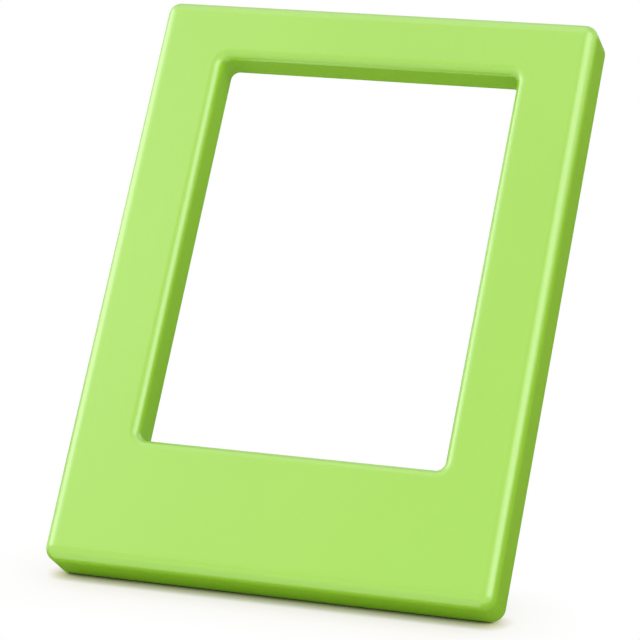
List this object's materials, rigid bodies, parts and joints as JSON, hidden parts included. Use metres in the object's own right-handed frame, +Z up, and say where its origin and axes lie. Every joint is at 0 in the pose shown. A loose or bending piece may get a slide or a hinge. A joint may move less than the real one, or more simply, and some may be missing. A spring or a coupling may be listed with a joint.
{
  "type": "magnetic photo frame",
  "caption": "Lime green plastic photo frame with a rounded bezel, an open window, disc magnets level with its back and a fold-out leg; it stands leaning back.",
  "frame": {"origin": "middle of the bounding box, on the surface that the frame stands on", "axes": "+X to the right seen from the front, +Y towards the back, +Z up; the plate leans back 35.8 degrees and the leg is open"},
  "size_m": [0.067, 0.0572, 0.0757],
  "materials": {
    "shell_green": "semi-gloss moulded",
    "back_green": "fine matte moulded",
    "leg_green": "fine matte moulded",
    "magnet": "nickel plated",
    "steel": "drawn steel"
  },
  "bodies": {
    "frame": {"front_frame": "shell_green", "back_cover": "back_green", "hinge_pin": "steel", "magnet_upper_left": "magnet", "magnet_upper_right": "magnet", "magnet_lower_left": "magnet", "magnet_lower_right": "magnet", "screw_upper_left": "steel", "screw_upper_right": "steel", "screw_lower_left": "steel", "screw_lower_right": "steel"},
    "leg": {"stand_leg": "leg_green"}
  },
  "joints": [
    {"name": "leg_fold", "type": "hinge", "parent": "frame", "child": "leg", "pos_m": [0, -0.02244, 0.00507], "axis": [1, 0, 0], "range_deg": [0, 59.09]}
  ]
}
